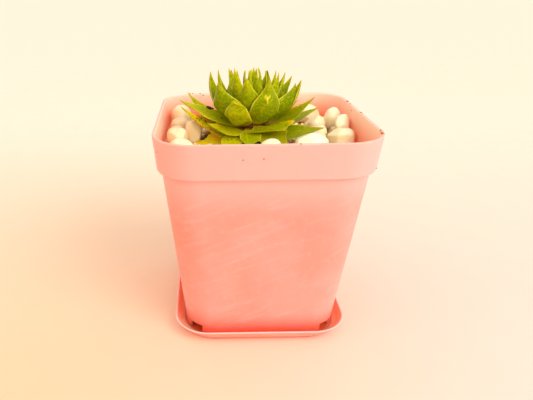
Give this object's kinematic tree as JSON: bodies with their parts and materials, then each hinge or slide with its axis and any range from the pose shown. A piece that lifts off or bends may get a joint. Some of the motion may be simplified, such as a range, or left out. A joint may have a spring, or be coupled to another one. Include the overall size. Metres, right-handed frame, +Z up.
{
  "type": "potted houseleek",
  "caption": "Small rosette succulent in a square tapered plastic pot with a rim band, on its own saucer, with soil and pale pebbles round the stem.",
  "frame": {"origin": "middle of the saucer's underside, on the table", "axes": "+Z up, along the pot; -Y is the side of the pot towards the viewer, +X to the right"},
  "size_m": [0.09, 0.09, 0.1162],
  "materials": {
    "pot": "satin",
    "saucer": "satin",
    "soil": "matte, crumbly",
    "stem": "matte",
    "leaf": "matte",
    "young_leaf": "matte",
    "dry_leaf": "matte",
    "pebble": "tumbled"
  },
  "bodies": {
    "root": {"saucer": "saucer", "pot": "pot", "soil": "soil", "stem": "stem", "heart_bud": "young_leaf", "leaf_01": "leaf", "leaf_02": "leaf", "leaf_03": "leaf", "leaf_04": "leaf", "leaf_05": "leaf", "leaf_06": "leaf", "leaf_07": "leaf", "leaf_08": "leaf", "leaf_09": "leaf", "leaf_10": "leaf", "leaf_11": "leaf", "leaf_12": "leaf", "leaf_13": "leaf", "leaf_14": "leaf", "leaf_15": "leaf", "leaf_16": "leaf", "leaf_17": "leaf", "leaf_18": "leaf", "leaf_19": "leaf", "leaf_20": "leaf", "leaf_21": "leaf", "leaf_22": "leaf", "leaf_23": "leaf", "leaf_24": "leaf", "leaf_25": "leaf", "leaf_26": "leaf", "leaf_27": "leaf", "leaf_28": "leaf", "leaf_29": "leaf", "leaf_30": "leaf", "leaf_31": "leaf", "leaf_32": "leaf", "leaf_33": "leaf", "leaf_34": "leaf", "leaf_35": "leaf", "leaf_36": "leaf", "leaf_withered": "dry_leaf", "pebble_01": "pebble", "pebble_02": "pebble", "pebble_03": "pebble", "pebble_04": "pebble", "pebble_05": "pebble", "pebble_06": "pebble", "pebble_07": "pebble", "pebble_08": "pebble", "pebble_09": "pebble", "pebble_10": "pebble", "pebble_11": "pebble", "pebble_12": "pebble", "pebble_13": "pebble", "pebble_14": "pebble", "pebble_15": "pebble", "pebble_16": "pebble", "pebble_17": "pebble", "pebble_18": "pebble"}
  },
  "joints": []
}
